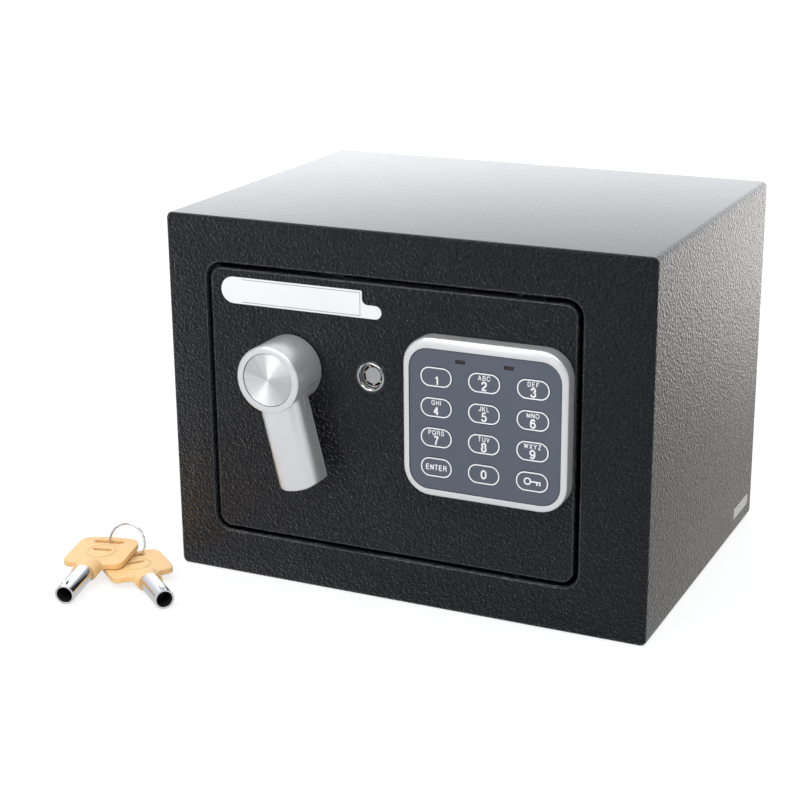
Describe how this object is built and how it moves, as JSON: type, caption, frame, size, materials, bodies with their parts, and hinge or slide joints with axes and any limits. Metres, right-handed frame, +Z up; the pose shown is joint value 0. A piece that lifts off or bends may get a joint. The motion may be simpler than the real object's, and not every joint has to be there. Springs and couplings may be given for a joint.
{
  "type": "electronic safe",
  "caption": "Small steel safe with a keypad, turning handle and tubular override lock on a hinged door, bolt work behind it and two loose keys on a ring.",
  "frame": {"origin": "middle of the underside of the case", "axes": "+Z up, +X to the right seen from the front, +Y to the back, the door faces -Y"},
  "size_m": [0.2772, 0.2358, 0.17],
  "materials": {
    "black_paint": "black orange-peel powder paint with a fine sparkle",
    "zinc_steel": "zinc plated",
    "silver_plastic": "satin silver paint",
    "spun_metal": "spun, with circular brush marks",
    "chrome": "polished",
    "brass": "turned",
    "slate_plastic": "satin slate grey-blue film",
    "black_plastic": "fine grained",
    "smoked_plastic": "smoked, see-through",
    "green_board": "glass-fibre board with green lacquer",
    "grey_rubber": "moulded",
    "copper_coil": "lacquered copper winding",
    "red_plastic": "glossy",
    "cell_wrap": "plain coloured sleeve with bare metal ends",
    "grey_felt": "pressed felt",
    "cream_plastic": "slightly see-through cream-yellow moulding"
  },
  "bodies": {
    "case": {"case_body": "black_paint", "back_panel": "black_paint", "floor_mat": "grey_felt", "strike_strip": "black_paint", "frame_hinge_top": "black_paint", "frame_hinge_bottom": "black_paint"},
    "door": {"door_plate": "black_paint", "hinge_lug_top": "black_paint", "hinge_lug_bottom": "black_paint", "mechanism_cover": "black_paint", "bolt_guide": "zinc_steel", "guide_stud": "zinc_steel", "handle_bush": "brass", "lock_barrel": "chrome", "lock_nut": "zinc_steel", "keypad_bezel": "silver_plastic", "keypad_panel": "slate_plastic", "light_pipe": "smoked_plastic", "key_mat": "grey_rubber", "circuit_board": "green_board", "keypad_lead": "black_plastic", "solenoid_bracket": "zinc_steel", "solenoid_coil": "copper_coil", "plunger_spring": "zinc_steel", "battery_box": "black_plastic", "cell_1": "cell_wrap", "cell_2": "cell_wrap", "cell_3": "cell_wrap", "cell_4": "cell_wrap"},
    "handle": {"handle_shell": "silver_plastic", "handle_rear_cover": "silver_plastic", "handle_disc": "spun_metal", "handle_spindle": "zinc_steel", "drive_cam": "zinc_steel"},
    "bolts": {"bolt_carriage": "zinc_steel", "bolt_upper": "chrome", "bolt_lower": "chrome"},
    "lock": {"lock_core": "chrome", "lock_cam": "zinc_steel"},
    "plunger_set": {"plunger": "zinc_steel", "plunger_link": "zinc_steel"},
    "button_1": {"key_1": "slate_plastic"},
    "button_2": {"key_2": "slate_plastic"},
    "button_3": {"key_3": "slate_plastic"},
    "button_4": {"key_4": "slate_plastic"},
    "button_5": {"key_5": "slate_plastic"},
    "button_6": {"key_6": "slate_plastic"},
    "button_7": {"key_7": "slate_plastic"},
    "button_8": {"key_8": "slate_plastic"},
    "button_9": {"key_9": "slate_plastic"},
    "button_enter": {"key_enter": "slate_plastic"},
    "button_0": {"key_0": "slate_plastic"},
    "button_open": {"key_open": "slate_plastic"},
    "battery_lid": {"battery_cover": "black_plastic"},
    "reset": {"reset_button": "red_plastic"},
    "override_keys": {"override_key_left_bow": "cream_plastic", "override_key_left_tube": "chrome", "override_key_right_bow": "cream_plastic", "override_key_right_tube": "chrome", "key_ring": "chrome"}
  },
  "joints": [
    {"name": "door_hinge", "type": "hinge", "parent": "case", "child": "door", "pos_m": [0.0549, -0.0792, 0.085], "axis": [0, 0, 1], "range_deg": [0, 100]},
    {"name": "handle_turn", "type": "hinge", "parent": "door", "child": "handle", "pos_m": [-0.0528, -0.085, 0.1046], "axis": [0, 1, 0], "range_deg": [0, 60]},
    {"name": "bolts_slide", "type": "slide", "parent": "door", "child": "bolts", "axis": [-1, 0, 0], "range_m": [0, 0.012]},
    {"name": "lock_turn", "type": "hinge", "parent": "door", "child": "lock", "pos_m": [-0.0135, -0.085, 0.1047], "axis": [0, 1, 0], "range_deg": [0, 90]},
    {"name": "plunger_drop", "type": "slide", "parent": "door", "child": "plunger_set", "axis": [0, 0, -1], "range_m": [0, 0.00636], "deforming": ["plunger_spring"]},
    {"name": "key_1_press", "type": "slide", "parent": "door", "child": "button_1", "axis": [0, 1, 0], "range_m": [0, 0.0005], "stiffness_N_per_m": 800},
    {"name": "key_2_press", "type": "slide", "parent": "door", "child": "button_2", "axis": [0, 1, 0], "range_m": [0, 0.0005], "stiffness_N_per_m": 800},
    {"name": "key_3_press", "type": "slide", "parent": "door", "child": "button_3", "axis": [0, 1, 0], "range_m": [0, 0.0005], "stiffness_N_per_m": 800},
    {"name": "key_4_press", "type": "slide", "parent": "door", "child": "button_4", "axis": [0, 1, 0], "range_m": [0, 0.0005], "stiffness_N_per_m": 800},
    {"name": "key_5_press", "type": "slide", "parent": "door", "child": "button_5", "axis": [0, 1, 0], "range_m": [0, 0.0005], "stiffness_N_per_m": 800},
    {"name": "key_6_press", "type": "slide", "parent": "door", "child": "button_6", "axis": [0, 1, 0], "range_m": [0, 0.0005], "stiffness_N_per_m": 800},
    {"name": "key_7_press", "type": "slide", "parent": "door", "child": "button_7", "axis": [0, 1, 0], "range_m": [0, 0.0005], "stiffness_N_per_m": 800},
    {"name": "key_8_press", "type": "slide", "parent": "door", "child": "button_8", "axis": [0, 1, 0], "range_m": [0, 0.0005], "stiffness_N_per_m": 800},
    {"name": "key_9_press", "type": "slide", "parent": "door", "child": "button_9", "axis": [0, 1, 0], "range_m": [0, 0.0005], "stiffness_N_per_m": 800},
    {"name": "key_enter_press", "type": "slide", "parent": "door", "child": "button_enter", "axis": [0, 1, 0], "range_m": [0, 0.0005], "stiffness_N_per_m": 800},
    {"name": "key_0_press", "type": "slide", "parent": "door", "child": "button_0", "axis": [0, 1, 0], "range_m": [0, 0.0005], "stiffness_N_per_m": 800},
    {"name": "key_open_press", "type": "slide", "parent": "door", "child": "button_open", "axis": [0, 1, 0], "range_m": [0, 0.0005], "stiffness_N_per_m": 800},
    {"name": "battery_cover_pull", "type": "slide", "parent": "door", "child": "battery_lid", "axis": [0, 1, 0], "range_m": [0, 0.03]},
    {"name": "reset_press", "type": "slide", "parent": "door", "child": "reset", "axis": [0, -1, 0], "range_m": [0, 0.0012], "stiffness_N_per_m": 400},
    {"name": "override_keys_lift", "type": "slide", "parent": "case", "child": "override_keys", "axis": [0, 0, 1], "range_m": [0, 0.05]}
  ],
  "couplings": [
    {"joint": "bolts_slide", "follows": "handle_turn", "m_per_rad": 0.011459},
    {"joint": "lock_turn", "follows": "plunger_drop", "rad_per_m": 246.82}
  ]
}
